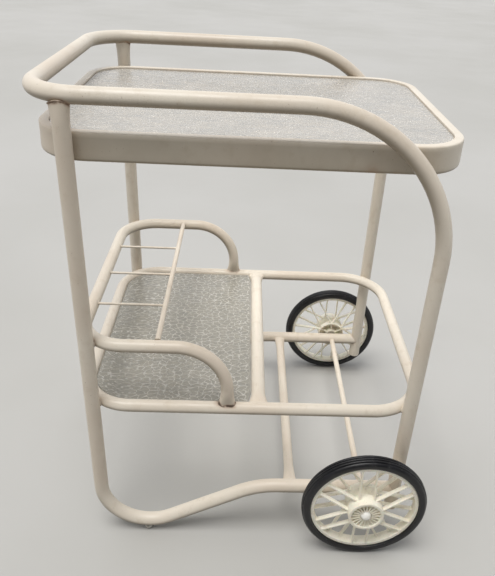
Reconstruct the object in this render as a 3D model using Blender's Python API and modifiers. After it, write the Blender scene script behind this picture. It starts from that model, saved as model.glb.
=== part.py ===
"""Two-shelf serving cart of bent tube, with two wheels, two glass shelves and a bottle rack.

Metres, +Z up.  The origin is on the floor, under the middle of the cart's outline.
+X points to the wheeled end, -Y to the near side and +Y to the far side.
"""
import math

import bmesh
import bpy
from mathutils import Matrix, Vector

OBJECT_NAME = "serving_cart"

# ---------------------------------------------------------------- driving dimensions
GAP = 0.0003                 # left between pieces that touch or are welded
MAIN_TUBE = 0.0254           # handle, legs and runners
SHELF_TUBE = 0.0222          # shelf loop and bottle guard; the crossbar is main tube
STAY_TUBE = 0.019            # lower cross tube
MAIN_WALL = 0.0014
THIN_WALL = 0.0012

RAIL_Z = 0.8352              # centre of the handle and top rails
SIDE_Y = 0.2510              # centre of the legs and rails, each side of the middle
THROUGH = 2 * SIDE_Y + 0.05  # a cutter this long passes through both sides
HANDLE_X = -0.3273
HANDLE_CORNER_R = 0.0797

RIGHT_LEG_X = 0.2942         # where the right leg's line meets the rail's height
RIGHT_LEG_LEAN = 0.0094      # metres of X for each metre of Z
RIGHT_LEG_FOOT_Z = 0.0715
TOP_BEND_R = 0.2327

LEFT_LEG_X = -0.2730
LEFT_LEG_LEAN = -0.0092
FOOT_BEND_R = 0.0873
RUNNER_SLOPE = 0.5181
KNEE_X = 0.0263
KNEE_R = 0.1574

WHEEL_R = 0.1160             # so the axle and the lower rails are at this height
AXLE_X = 0.2234
AXLE_R = 0.0060
WASHER_R = 0.0115

SHELF_Z = 0.2989
SHELF_Y = 0.2470
SHELF_LEFT_X = -0.2889
SHELF_RIGHT_X = 0.3160
SHELF_LEFT_CORNER_R = 0.0832
SHELF_RIGHT_CORNER_R = 0.0915
CROSSBAR_X = 0.0206
STAY_X = 0.0884

# How a welded end is squeezed: over this length, this much wider along the tube that it meets
# and this share as thick across it.
LEG_SQUEEZE = (0.042, 1.20, 0.84)
CROSSBAR_SQUEEZE = (0.040, 1.48, 0.55)
STAY_SQUEEZE = (0.055, 1.36, 0.58)
GUARD_SQUEEZE = (0.036, 1.42, 0.62)

GUARD_Z = 0.4252
GUARD_LEFT_X = -0.2858
GUARD_FOOT_X = -0.0350
GUARD_CORNER_R = 0.0764
GUARD_BEND_R = 0.0895
ROD_R = 0.00475
ROD_X = -0.1538
ROD_LIFT = 0.0040            # the divider rod's height over the guard's centre
WIRE_R = 0.0024
WIRE_STEP = 0.1174
WIRE_SHIFT = -0.0045         # the three wires sit a little off the middle

TRAY_TOP_Z = 0.7809
TRAY_LEFT_X = -0.3280
TRAY_RIGHT_X = 0.3167
TRAY_HALF_Y = SIDE_Y - MAIN_TUBE / 2 - GAP
TRAY_CORNER_R = 0.0793
TRAY_HEIGHT = 0.0444
TRAY_SHEET = 0.0016
TRAY_RIM = 0.0145
TRAY_LEDGE = 0.0100
TRAY_LIP = 0.0080

GLASS = 0.0050
GLASS_BELOW_RIM = 0.0030
GLASS_EDGE_GAP = 0.0010
GLASS_LIFT = 0.0040          # the shelf pane's top over the shelf loop's centre
BUMPER_R = 0.0055
TOP_BUMPER_R = 0.0042
BUMPER = 0.0012
TAB = 0.0020
TAB_SIZE = (0.018, 0.016)
PANE_CLIP = ((0, 0.0270), (0.0045, 0.0040), (0.0055, 0))   # its corners by the crossbar's wide ends

HUB_R = 0.0325
HUB_WAIST_R = 0.0205
HUB_IN_Y = 0.2668
HUB_OUT_Y = 0.3230
HUB_OUTER_BARREL = 0.0240    # lengths of the two wide ends, with the waist between them
HUB_INNER_BARREL = 0.0125
HUB_TAPER = 0.0055
HUB_INNER_STEP = 0.0020      # the boss stands out this far past the inner barrel
HUB_WALL = 0.0026
HUB_BOSS_R = 0.0132
HUB_DISH_R = 0.0265
HUB_DISH = 0.0060
HUB_BORE_R = 0.0092
BUSH_BORE_R = 0.0064
RIM_IN_Y = 0.2849
RIM_OUT_Y = 0.3038
RIM_R = 0.0996
RIM_BAND_R = 0.0930
RIM_LIP = 0.0030
TYRE_WIDTH = 0.0270
TYRE_SHOULDER = 0.0045
SPOKE_PAIRS = 6
SPOKE_SPREAD = math.radians(22)
SPOKE_WIDTH = 0.0028
SPOKE_DEPTH = 0.0085
OUTER_SPOKE_Z = 0.0125       # where each set of spokes leaves the hub, out from the wheel's middle
INNER_SPOKE_Z = -0.0195
CAP_R = 0.0102
CAP_SKIRT = 0.0030
CAP_HEIGHT = 0.0120
CAP_INSET = 0.0085           # the cap's foot behind the hub's outer face

# ---------------------------------------------------------------- colours
CREAM = (0.74, 0.66, 0.54, 1)
CREAM_PLASTIC = (0.76, 0.70, 0.58, 1)
RUBBER = (0.012, 0.012, 0.013, 1)
GLASS_TINT = (0.62, 0.63, 0.60, 1)
VINYL = (0.55, 0.54, 0.50, 1)
NYLON = (0.70, 0.70, 0.66, 1)
STEEL = (0.55, 0.55, 0.54, 1)


# ---------------------------------------------------------------- scene and materials
def clear_scene():
    for obj in list(bpy.data.objects):
        bpy.data.objects.remove(obj, do_unlink=True)


def new_collection(name):
    collection = bpy.data.collections.new(name)
    bpy.context.scene.collection.children.link(collection)
    return collection


def material(name, colour, roughness, metallic=0.0):
    mat = bpy.data.materials.new(name)
    mat.use_nodes = True
    shader = mat.node_tree.nodes["Principled BSDF"]
    shader.inputs["Base Color"].default_value = colour
    shader.inputs["Roughness"].default_value = roughness
    shader.inputs["Metallic"].default_value = metallic
    return mat


def add_part(name, mesh, mat):
    """A visible piece of the cart, as a mesh object of its own."""
    obj = bpy.data.objects.new(name, mesh)
    PARTS.objects.link(obj)
    mesh.materials.clear()
    mesh.materials.append(mat)
    mesh.shade_smooth()
    mesh.set_sharp_from_angle(angle=math.radians(35))
    return obj


def add_cutter(name, mesh):
    """A hidden mesh that a Boolean cuts with or joins on."""
    obj = bpy.data.objects.new(name, mesh)
    CUTTERS.objects.link(obj)
    obj.hide_render = True
    obj.display_type = "WIRE"
    return obj


def boolean(obj, other, operation="DIFFERENCE"):
    modifier = obj.modifiers.new(operation.lower(), "BOOLEAN")
    modifier.operation = operation
    modifier.solver = "EXACT"
    modifier.object = other


# ---------------------------------------------------------------- paths
def filleted(corners, radii):
    """The polyline through corners, with each inner corner rounded to its radius."""
    turn = math.radians(15)
    corners = [Vector(c) for c in corners]
    path = [corners[0]]
    for before, corner, after, radius in zip(corners, corners[1:], corners[2:], radii):
        inward = (before - corner).normalized()
        outward = (after - corner).normalized()
        bend = math.pi - inward.angle(outward)
        start = corner + inward * radius * math.tan(bend / 2)
        centre = corner + (inward + outward).normalized() * radius / math.cos(bend / 2)
        axis = (-inward).cross(outward).normalized()
        steps = max(2, math.ceil(bend / turn))
        for i in range(steps + 1):
            path.append(centre + Matrix.Rotation(bend * i / steps, 3, axis) @ (start - centre))
    path.append(corners[-1])
    return path


def with_rings(path, length, count=3):
    """The path with extra points over the last stretch of each end, where the ends are shaped."""
    first = (path[1] - path[0]).normalized()
    last = (path[-2] - path[-1]).normalized()
    head = [path[0] + first * length * i / count for i in range(count + 1)]
    tail = [path[-1] + last * length * i / count for i in range(count, -1, -1)]
    return head + path[1:-1] + tail


def rounded_rectangle(x_low, x_high, half_y, z, low_r, high_r):
    """A closed outline, starting at the middle of the high-X side, anticlockwise from above."""
    corners = [(x_high, 0, z), (x_high, half_y, z), (x_low, half_y, z),
               (x_low, -half_y, z), (x_high, -half_y, z), (x_high, 0, z)]
    return filleted(corners, [high_r, low_r, low_r, high_r])[:-1]


def right_leg_x(z):
    return RIGHT_LEG_X + RIGHT_LEG_LEAN * (z - RAIL_Z)


def top_frame_path():
    foot = (right_leg_x(RIGHT_LEG_FOOT_Z), RIGHT_LEG_FOOT_Z)
    corners = [(foot[0], -SIDE_Y, foot[1]), (RIGHT_LEG_X, -SIDE_Y, RAIL_Z), (HANDLE_X, -SIDE_Y, RAIL_Z),
               (HANDLE_X, SIDE_Y, RAIL_Z), (RIGHT_LEG_X, SIDE_Y, RAIL_Z), (foot[0], SIDE_Y, foot[1])]
    return filleted(corners, [TOP_BEND_R, HANDLE_CORNER_R, HANDLE_CORNER_R, TOP_BEND_R])


def left_leg_path(y):
    """Down the left leg, round the foot, up the runner and along the lower rail."""
    toe_x = (LEFT_LEG_X + LEFT_LEG_LEAN * (WHEEL_R - RUNNER_SLOPE * KNEE_X - RAIL_Z)) \
        / (1 - LEFT_LEG_LEAN * RUNNER_SLOPE)
    toe_z = WHEEL_R + RUNNER_SLOPE * (toe_x - KNEE_X)
    corners = [(LEFT_LEG_X, y, RAIL_Z), (toe_x, y, toe_z), (KNEE_X, y, WHEEL_R),
               (right_leg_x(WHEEL_R), y, WHEEL_R)]
    return filleted(corners, [FOOT_BEND_R, KNEE_R])


def guard_path():
    corners = [(GUARD_FOOT_X, -SHELF_Y, SHELF_Z), (GUARD_FOOT_X, -SHELF_Y, GUARD_Z),
               (GUARD_LEFT_X, -SHELF_Y, GUARD_Z), (GUARD_LEFT_X, SHELF_Y, GUARD_Z),
               (GUARD_FOOT_X, SHELF_Y, GUARD_Z), (GUARD_FOOT_X, SHELF_Y, SHELF_Z)]
    return filleted(corners, [GUARD_BEND_R, GUARD_CORNER_R, GUARD_CORNER_R, GUARD_BEND_R])


def shelf_outline():
    return rounded_rectangle(SHELF_LEFT_X, SHELF_RIGHT_X, SHELF_Y, SHELF_Z,
                             SHELF_LEFT_CORNER_R, SHELF_RIGHT_CORNER_R)


# ---------------------------------------------------------------- tubes and turned shapes
def welded_mesh(name, data, modify=None):
    """The evaluated mesh of a curve or mesh, with its seams and caps welded and its faces turned out."""
    obj = bpy.data.objects.new(name, data)
    bpy.context.scene.collection.objects.link(obj)
    if modify:
        modify(obj)
    mesh = bpy.data.meshes.new_from_object(obj.evaluated_get(bpy.context.evaluated_depsgraph_get()))
    bpy.data.objects.remove(obj)
    bm = bmesh.new()
    bm.from_mesh(mesh)
    bmesh.ops.remove_doubles(bm, verts=bm.verts, dist=0.00001)
    bmesh.ops.recalc_face_normals(bm, faces=bm.faces)
    bm.to_mesh(mesh)
    bm.free()
    return mesh


def curve_mesh(name, path, radius, closed=False, caps=True, sides=12, section=None):
    """The mesh of a bevelled curve along path."""
    curve = bpy.data.curves.new(name, "CURVE")
    curve.dimensions = "3D"
    curve.render_resolution_u = 0
    spline = curve.splines.new("POLY")
    spline.points.add(len(path) - 1)
    for point, place in zip(spline.points, path):
        point.co = (*place, 1)
    spline.use_cyclic_u = closed
    if section is None:
        curve.bevel_depth = radius
        curve.bevel_resolution = (sides - 4) // 2
    else:
        curve.bevel_mode = "OBJECT"
        curve.bevel_object = section
        curve.twist_mode = "Z_UP"
    curve.use_fill_caps = caps and not closed
    return welded_mesh(name, curve)


def shape_end(mesh, end, along, wide, squeeze):
    """Squeezes a tube's end oval: wider along one direction and thinner across it."""
    length, widen, thin = squeeze
    across = along.cross(wide).normalized()
    for vertex in mesh.vertices:
        offset = vertex.co - end
        if offset.length > length + MAIN_TUBE:
            continue
        t = 1 - min(max(offset.dot(along) / length, 0), 1)
        ease = t * t * (3 - 2 * t)
        vertex.co += wide * offset.dot(wide) * (widen - 1) * ease
        vertex.co += across * offset.dot(across) * (thin - 1) * ease


def tube_sides(diameter):
    return 12 if diameter == MAIN_TUBE else 10


def hollow_tube(name, path, diameter, wall, mat):
    """An open-ended tube: the bevelled curve's skin, thickened inwards."""
    mesh = curve_mesh(name, path, diameter / 2, caps=False, sides=tube_sides(diameter))
    obj = add_part(name, mesh, mat)
    solidify = obj.modifiers.new("wall", "SOLIDIFY")
    solidify.thickness = wall
    solidify.offset = -1
    return obj


def fat_tube(name, path, diameter, closed=False):
    """A cutter a little fatter than the tube that a neighbour is notched around."""
    mesh = curve_mesh(name, path, diameter / 2 + GAP, closed=closed, sides=tube_sides(diameter))
    return add_cutter(name, mesh)


def turned_mesh(name, profile, steps, closed_profile=True):
    """The profile's (radius, height) points turned round Z, from top to bottom on the outside."""
    mesh = bpy.data.meshes.new(name)
    bm = bmesh.new()
    verts = [bm.verts.new((radius, 0, height)) for radius, height in profile]
    for a, b in zip(verts, verts[1:]):
        bm.edges.new((a, b))
    if closed_profile:
        bm.edges.new((verts[-1], verts[0]))
    bm.to_mesh(mesh)
    bm.free()

    def turn(obj):
        screw = obj.modifiers.new("turn", "SCREW")
        screw.steps = steps
        screw.render_steps = steps
        screw.use_merge_vertices = True
        screw.merge_threshold = 0.00001

    return welded_mesh(name, mesh, turn)


def cylinder_mesh(name, radius, depth, sides, to_y=False):
    """A closed cylinder about its middle, along Z, or along Y."""
    mesh = bpy.data.meshes.new(name)
    bm = bmesh.new()
    turn = Matrix.Rotation(math.pi / 2, 4, "X") if to_y else Matrix.Identity(4)
    bmesh.ops.create_cone(bm, cap_ends=True, segments=sides, radius1=radius, radius2=radius,
                          depth=depth, matrix=turn)
    bm.to_mesh(mesh)
    bm.free()
    return mesh


def box_mesh(name, size):
    mesh = bpy.data.meshes.new(name)
    bm = bmesh.new()
    bmesh.ops.create_cube(bm, size=1, matrix=Matrix.Diagonal((*size, 1)))
    bm.to_mesh(mesh)
    bm.free()
    return mesh


def plate_mesh(name, outline, thickness):
    """A flat pane: its outline filled and given thickness, about its own mid-height."""
    curve = bpy.data.curves.new(name, "CURVE")
    curve.dimensions = "2D"
    curve.fill_mode = "BOTH"
    curve.extrude = thickness / 2
    curve.render_resolution_u = 0
    spline = curve.splines.new("POLY")
    spline.points.add(len(outline) - 1)
    for point, place in zip(spline.points, outline):
        point.co = (place[0], place[1], 0, 1)
    spline.use_cyclic_u = True
    return welded_mesh(name, curve)


# ---------------------------------------------------------------- the welded frame
def build_frame(mat):
    top_path = top_frame_path()
    hollow_tube("top_frame", top_path, MAIN_TUBE, MAIN_WALL, mat)
    top_cutter = fat_tube("cut_top_frame", top_path, MAIN_TUBE)
    axle_hole = add_cutter("cut_axle", cylinder_mesh("cut_axle", AXLE_R + GAP, THROUGH, 16, to_y=True))
    axle_hole.location = (AXLE_X, 0, WHEEL_R)

    for side, y in (("near", -SIDE_Y), ("far", SIDE_Y)):
        path = with_rings(left_leg_path(y), LEG_SQUEEZE[0])
        leg = hollow_tube("left_leg_" + side, path, MAIN_TUBE, MAIN_WALL, mat)
        down = (path[1] - path[0]).normalized()
        shape_end(leg.data, path[0], down, Vector((1, 0, 0)), LEG_SQUEEZE)
        boolean(leg, top_cutter)
        boolean(leg, axle_hole)

    shelf_path = shelf_outline()
    seam = Vector((0, GAP, 0))
    middle = Vector((SHELF_RIGHT_X, 0, SHELF_Z))
    hollow_tube("shelf_loop", [middle + seam] + shelf_path[1:] + [middle - seam],
                SHELF_TUBE, THIN_WALL, mat)
    shelf_cutter = fat_tube("cut_shelf_loop", shelf_path, SHELF_TUBE, closed=True)

    bar_path = with_rings([Vector((CROSSBAR_X, -SHELF_Y, SHELF_Z)), Vector((CROSSBAR_X, SHELF_Y, SHELF_Z))],
                          CROSSBAR_SQUEEZE[0])
    bar = hollow_tube("shelf_crossbar", bar_path, MAIN_TUBE, THIN_WALL, mat)
    stay_path = with_rings([Vector((STAY_X, -SIDE_Y, WHEEL_R)), Vector((STAY_X, SIDE_Y, WHEEL_R))],
                           STAY_SQUEEZE[0])
    stay = hollow_tube("lower_cross_tube", stay_path, STAY_TUBE, THIN_WALL, mat)
    for tube, path, squeeze in ((bar, bar_path, CROSSBAR_SQUEEZE), (stay, stay_path, STAY_SQUEEZE)):
        for end, along in ((path[0], Vector((0, 1, 0))), (path[-1], Vector((0, -1, 0)))):
            shape_end(tube.data, end, along, Vector((1, 0, 0)), squeeze)
    boolean(bar, shelf_cutter)
    for side, y in (("near", -SIDE_Y), ("far", SIDE_Y)):
        boolean(stay, fat_tube("cut_lower_rail_" + side, left_leg_path(y), MAIN_TUBE))

    guard = guard_path()
    rack = hollow_tube("bottle_guard", with_rings(guard, GUARD_SQUEEZE[0]), SHELF_TUBE, THIN_WALL, mat)
    for end in (guard[0], guard[-1]):
        shape_end(rack.data, end, Vector((0, 0, 1)), Vector((1, 0, 0)), GUARD_SQUEEZE)
    boolean(rack, shelf_cutter)


def build_divider(mat):
    """The rod across the bottle guard, and the wires from it to the guard's end."""
    guard_cutter = fat_tube("cut_guard", guard_path(), SHELF_TUBE)
    rod_z = GUARD_Z + ROD_LIFT
    rod = add_part("divider_rod", cylinder_mesh("divider_rod", ROD_R, 2 * SHELF_Y, 12, to_y=True), mat)
    rod.location = (ROD_X, 0, rod_z)
    boolean(rod, guard_cutter)
    rod_cutter = add_cutter("cut_rod", cylinder_mesh("cut_rod", ROD_R + GAP, THROUGH, 12, to_y=True))
    rod_cutter.location = rod.location
    for i in range(3):
        y = WIRE_SHIFT + WIRE_STEP * (i - 1)
        path = [Vector((GUARD_LEFT_X, y, rod_z)), Vector((ROD_X, y, rod_z))]
        name = "divider_wire_%d" % (i + 1)
        wire = add_part(name, curve_mesh(name, path, WIRE_R, sides=8), mat)
        boolean(wire, guard_cutter)
        boolean(wire, rod_cutter)


# ---------------------------------------------------------------- the upper tray
def tray_section():
    """The band's folded section: wall, top rim, pocket, ledge and bottom lip (outward, upward)."""
    sheet = TRAY_SHEET
    ledge_z = -(GLASS_BELOW_RIM + GLASS + BUMPER + 2 * GAP)
    bend = 0.006
    outer = [(-bend * (1 - math.sin(a)), -TRAY_HEIGHT + bend * (1 - math.cos(a)))
             for a in (math.radians(45 * k) for k in range(3))]
    inner = [(-bend + (bend - sheet) * math.sin(a), -TRAY_HEIGHT + bend - (bend - sheet) * math.cos(a))
             for a in (math.radians(45 * k) for k in range(2, -1, -1))]
    section = [(-TRAY_LIP - bend, -TRAY_HEIGHT)] + outer
    section += [(0, -0.002), (-0.0007, -0.0006), (-0.0022, 0), (-TRAY_RIM, 0)]
    section += [(-TRAY_RIM, ledge_z), (-TRAY_RIM - TRAY_LEDGE, ledge_z)]
    section += [(-TRAY_RIM - TRAY_LEDGE, ledge_z - sheet), (-TRAY_RIM + sheet, ledge_z - sheet)]
    section += [(-TRAY_RIM + sheet, -sheet), (-sheet, -sheet)]
    section += inner + [(-TRAY_LIP - bend, -TRAY_HEIGHT + sheet)]
    return section


def build_tray(mat, vinyl):
    curve = bpy.data.curves.new("tray_section", "CURVE")
    curve.dimensions = "2D"
    spline = curve.splines.new("POLY")
    points = tray_section()
    spline.points.add(len(points) - 1)
    for point, (outward, upward) in zip(spline.points, points):
        point.co = (outward, upward, 0, 1)
    spline.use_cyclic_u = True
    section = bpy.data.objects.new("tray_section", curve)
    CUTTERS.objects.link(section)
    outline = rounded_rectangle(TRAY_LEFT_X, TRAY_RIGHT_X, TRAY_HALF_Y, TRAY_TOP_Z,
                                TRAY_CORNER_R, TRAY_CORNER_R)
    add_part("tray_band", curve_mesh("tray_band", outline, 0, closed=True, section=section), mat)
    bpy.data.objects.remove(section)

    ledge_z = TRAY_TOP_Z - GLASS_BELOW_RIM - GLASS - BUMPER - 2 * GAP
    inset = TRAY_RIM + TRAY_LEDGE / 2
    middle = (TRAY_LEFT_X + TRAY_RIGHT_X) / 2
    quarter = (TRAY_RIGHT_X - TRAY_LEFT_X) / 4
    places = [(middle + i * quarter, j * (TRAY_HALF_Y - inset)) for i in (-1, 1) for j in (-1, 1)]
    places += [(TRAY_LEFT_X + inset, 0), (TRAY_RIGHT_X - inset, 0)]
    for i, (x, y) in enumerate(places):
        name = "top_bumper_%d" % (i + 1)
        bumper = add_part(name, cylinder_mesh(name, TOP_BUMPER_R, BUMPER, 8), vinyl)
        bumper.location = (x, y, ledge_z + GAP + BUMPER / 2)


def build_top_glass(mat):
    inset = TRAY_RIM + GLASS_EDGE_GAP
    radius = TRAY_CORNER_R - inset
    outline = rounded_rectangle(TRAY_LEFT_X + inset, TRAY_RIGHT_X - inset, TRAY_HALF_Y - inset, 0,
                                radius, radius)
    pane = add_part("top_glass", plate_mesh("top_glass", outline, GLASS), mat)
    pane.location.z = TRAY_TOP_Z - GLASS_BELOW_RIM - GLASS / 2


# ---------------------------------------------------------------- the shelf pane
def build_shelf_glass(mat, steel, vinyl):
    inset = SHELF_TUBE / 2 + GLASS_EDGE_GAP
    radius = SHELF_LEFT_CORNER_R - inset
    left = SHELF_LEFT_X + inset
    right = CROSSBAR_X - MAIN_TUBE / 2 - GLASS_EDGE_GAP
    half = SHELF_Y - inset
    clipped = [(right - inward, half - back, 0) for inward, back in PANE_CLIP]
    corners = [(right, half, 0), (left, half, 0), (left, -half, 0), (right, -half, 0)]
    rounded = filleted(corners, [radius, radius])
    outline = clipped + [tuple(place) for place in rounded[1:-1]]
    outline += [(x, -y, z) for x, y, z in clipped[::-1]]
    pane = add_part("shelf_glass", plate_mesh("shelf_glass", outline, GLASS), mat)
    pane_z = SHELF_Z + GLASS_LIFT - GLASS / 2
    pane.location.z = pane_z

    tab_z = pane_z - GLASS / 2 - BUMPER - 2 * GAP - TAB / 2
    drop = SHELF_Z - tab_z + TAB / 2
    loop_reach, bar_reach = (math.sqrt((diameter / 2) ** 2 - (drop - TAB) ** 2) + GAP
                             for diameter in (SHELF_TUBE, MAIN_TUBE))
    middle = (left + right) / 2
    span = (right - left) / 5
    long, wide = TAB_SIZE
    side_y = SHELF_Y - loop_reach - wide / 2
    places = [(middle + i * span, j * side_y, TAB_SIZE) for i in (-1, 1) for j in (-1, 1)]
    places += [(SHELF_LEFT_X + loop_reach + wide / 2, 0, (wide, long))]
    places += [(CROSSBAR_X - bar_reach - wide / 2, 0, (wide, long))]
    for i, (x, y, (x_size, y_size)) in enumerate(places):
        name = "shelf_tab_%d" % (i + 1)
        tab = add_part(name, box_mesh(name, (x_size, y_size, TAB)), steel)
        tab.location = (x, y, tab_z)
        name = "shelf_bumper_%d" % (i + 1)
        bumper = add_part(name, cylinder_mesh(name, BUMPER_R, BUMPER, 8), vinyl)
        bumper.location = (x, y, tab_z + TAB / 2 + GAP + BUMPER / 2)


# ---------------------------------------------------------------- feet
def build_feet(mat_plug, mat_glide):
    """A pressed plug in each right leg's foot, and a domed glide under each left foot's bend."""
    stem, lip = MAIN_TUBE / 2 - MAIN_WALL - 2 * GAP, MAIN_TUBE / 2 - 0.0004
    plug = [(0, 0.018), (stem, 0.018), (stem, -GAP), (lip, -GAP), (lip, -0.0014), (lip - 0.0014, -0.0022),
            (0, -0.0022)]
    glide = [(0, 0.013), (0.0065, 0.013), (0.0088, 0.0066), (0.0090, 0.0046), (0.0080, 0.0018),
             (0.0056, 0), (0, 0)]
    for side, y in (("near", -SIDE_Y), ("far", SIDE_Y)):
        mesh = turned_mesh("leg_plug", plug, 12, closed_profile=False)
        foot = add_part("leg_plug_" + side, mesh, mat_plug)
        foot.location = (right_leg_x(RIGHT_LEG_FOOT_Z), y, RIGHT_LEG_FOOT_Z)
        foot.rotation_euler.y = math.atan(RIGHT_LEG_LEAN)
        path = left_leg_path(y)
        lowest = min(path, key=lambda point: point.z)
        pad = add_part("glide_" + side, turned_mesh("glide", glide, 16, closed_profile=False), mat_glide)
        pad.location = (lowest.x, y, 0)
        boolean(pad, fat_tube("cut_foot_" + side, path, MAIN_TUBE))


# ---------------------------------------------------------------- wheels and axle
def spoke_mesh(name, hub_z, rim_z, phase):
    """Six pairs of spokes, each pair spreading from one place on the hub to the rim."""
    mesh = bpy.data.meshes.new(name)
    bm = bmesh.new()
    for i in range(SPOKE_PAIRS):
        middle = phase + i * 2 * math.pi / SPOKE_PAIRS
        for turn in (-1, 1):
            foot = HUB_R - HUB_WALL + 0.0004
            at_hub = middle + turn * math.asin(SPOKE_WIDTH * 0.56 / foot)
            at_rim = middle + turn * SPOKE_SPREAD
            radius = RIM_BAND_R + 0.0025
            start = Vector((foot * math.cos(at_hub), foot * math.sin(at_hub), hub_z))
            end = Vector((radius * math.cos(at_rim), radius * math.sin(at_rim), rim_z))
            turned = (end - start).to_track_quat("X", "Z").to_matrix().to_4x4()
            place = Matrix.Translation((start + end) / 2) @ turned
            size = Matrix.Diagonal(((end - start).length, SPOKE_WIDTH, SPOKE_DEPTH, 1))
            bmesh.ops.create_cube(bm, size=1, matrix=place @ size)
    bm.to_mesh(mesh)
    bm.free()
    return mesh


def wheel_meshes():
    """The wheel's own Z axis is its axle, pointing outwards, with Z = 0 in the tyre's middle."""
    middle = (RIM_IN_Y + RIM_OUT_Y) / 2
    hub_in, hub_out = HUB_IN_Y - middle, HUB_OUT_Y - middle
    inner_face = hub_in + HUB_INNER_STEP
    outer_back, inner_back = hub_out - HUB_OUTER_BARREL, inner_face + HUB_INNER_BARREL
    pocket = HUB_R - HUB_WALL
    pocket_end = inner_back + HUB_TAPER - 0.002
    hub = [(HUB_BORE_R, hub_out - HUB_DISH - 0.003), (HUB_DISH_R, hub_out - HUB_DISH),
           (HUB_DISH_R + 0.001, hub_out), (HUB_R - 0.0015, hub_out), (HUB_R, hub_out - 0.0015),
           (HUB_R, outer_back), (HUB_WAIST_R, outer_back - HUB_TAPER),
           (HUB_WAIST_R, inner_back + HUB_TAPER),
           (HUB_R, inner_back), (HUB_R, inner_face), (pocket, inner_face), (pocket, inner_back - 0.003),
           (HUB_WAIST_R - 0.004, pocket_end), (HUB_BOSS_R + 0.0005, pocket_end), (HUB_BOSS_R, hub_in),
           (HUB_BORE_R, hub_in)]
    half = (RIM_OUT_Y - RIM_IN_Y) / 2
    groove = RIM_R - RIM_LIP
    rim = [(RIM_BAND_R, half), (RIM_R, half), (RIM_R, half - RIM_LIP), (groove, half - RIM_LIP - 0.001),
           (groove, -half + RIM_LIP + 0.001), (RIM_R, -half + RIM_LIP), (RIM_R, -half), (RIM_BAND_R, -half)]
    side = TYRE_WIDTH / 2
    bead = RIM_R + GAP
    seat = groove + GAP
    shoulder = WHEEL_R - TYRE_SHOULDER
    tyre = [(bead, half - RIM_LIP - GAP), (bead, half + 0.001), (bead + 0.005, side),
            (shoulder, side - 0.0015), (WHEEL_R, side - 0.007), (WHEEL_R, 0.007 - side),
            (shoulder, 0.0015 - side), (bead + 0.005, -side),
            (bead, -half - 0.001), (bead, -half + RIM_LIP + GAP), (seat, -half + RIM_LIP + 0.0015),
            (seat, half - RIM_LIP - 0.0015)]
    bush = [(BUSH_BORE_R, hub_out - 0.0095), (HUB_BORE_R - GAP, hub_out - 0.0095),
            (HUB_BORE_R - GAP, hub_in - 0.0005), (BUSH_BORE_R, hub_in - 0.0005)]
    return (turned_mesh("hub", hub, 20), turned_mesh("rim", rim, 36), turned_mesh("tyre", tyre, 36),
            turned_mesh("bush", bush, 16),
            spoke_mesh("outer_spokes", OUTER_SPOKE_Z, half - SPOKE_DEPTH / 2 - GAP, 0),
            spoke_mesh("inner_spokes", INNER_SPOKE_Z, -half + SPOKE_DEPTH / 2 + GAP,
                       math.pi / SPOKE_PAIRS))


def build_wheels(plastic, rubber, nylon, steel, cream):
    hub, rim, tyre, bush, outer_spokes, inner_spokes = wheel_meshes()
    middle = (RIM_IN_Y + RIM_OUT_Y) / 2
    dome = CAP_HEIGHT - CAP_SKIRT
    turns = [math.radians(18 * k) for k in range(6)]
    cap = [(CAP_R * math.sin(a), CAP_SKIRT + dome * math.cos(a)) for a in turns]
    cap += [(CAP_R, 0), (0, 0)]
    for side, sign in (("near", -1), ("far", 1)):
        centre = (AXLE_X, sign * middle, WHEEL_R)
        outward = (-sign * math.pi / 2, 0, 0)
        wheel = add_part("wheel_" + side, rim.copy(), plastic)
        pieces = [wheel, add_part("tyre_" + side, tyre.copy(), rubber),
                  add_part("hub_bush_" + side, bush.copy(), nylon)]
        for name, mesh in (("hub", hub), ("outer_spokes", outer_spokes), ("inner_spokes", inner_spokes)):
            piece = add_cutter("join_%s_%s" % (name, side), mesh.copy())
            boolean(wheel, piece, "UNION")
            pieces.append(piece)
        for piece in pieces:
            piece.location = centre
            piece.rotation_euler = outward
        rail_face = SIDE_Y + MAIN_TUBE / 2 + GAP
        washer_thickness = HUB_IN_Y - 0.0005 - GAP - rail_face
        washer = [(AXLE_R + GAP, washer_thickness / 2), (WASHER_R, washer_thickness / 2),
                  (WASHER_R, -washer_thickness / 2), (AXLE_R + GAP, -washer_thickness / 2)]
        disc = add_part("axle_washer_" + side, turned_mesh("washer", washer, 16), steel)
        disc.location = (AXLE_X, sign * (rail_face + washer_thickness / 2), WHEEL_R)
        disc.rotation_euler = outward
        nut = add_part("cap_nut_" + side, turned_mesh("cap_nut", cap, 16, closed_profile=False), nylon)
        nut.location = (AXLE_X, sign * (HUB_OUT_Y - CAP_INSET), WHEEL_R)
        nut.rotation_euler = outward
    axle_length = 2 * (HUB_OUT_Y - CAP_INSET - GAP)
    axle = add_part("axle", cylinder_mesh("axle", AXLE_R, axle_length, 16, to_y=True), cream)
    axle.location = (AXLE_X, 0, WHEEL_R)


clear_scene()
PARTS = new_collection(OBJECT_NAME)
CUTTERS = new_collection("cutters")

cream = material("cream_powder_coat", CREAM, 0.42)
plastic = material("cream_plastic", CREAM_PLASTIC, 0.45)
rubber = material("black_rubber", RUBBER, 0.75)
glass = material("obscure_glass", GLASS_TINT, 0.2)
vinyl = material("clear_vinyl", VINYL, 0.3)
nylon = material("white_nylon", NYLON, 0.5)
steel = material("plated_steel", STEEL, 0.35, 1.0)

build_frame(cream)
build_divider(cream)
build_tray(cream, vinyl)
build_top_glass(glass)
build_shelf_glass(glass, cream, vinyl)
build_feet(plastic, steel)
build_wheels(plastic, rubber, nylon, steel, cream)
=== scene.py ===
"""The looks of a two-shelf serving cart of bent tube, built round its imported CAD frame.

Metres, +Z up.  -Y is the near side and +X the wheeled end.  Each piece but the welds stands for
one CAD node: its place and size come from that node's box, and its bends repeat the CAD's.
"""

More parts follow.
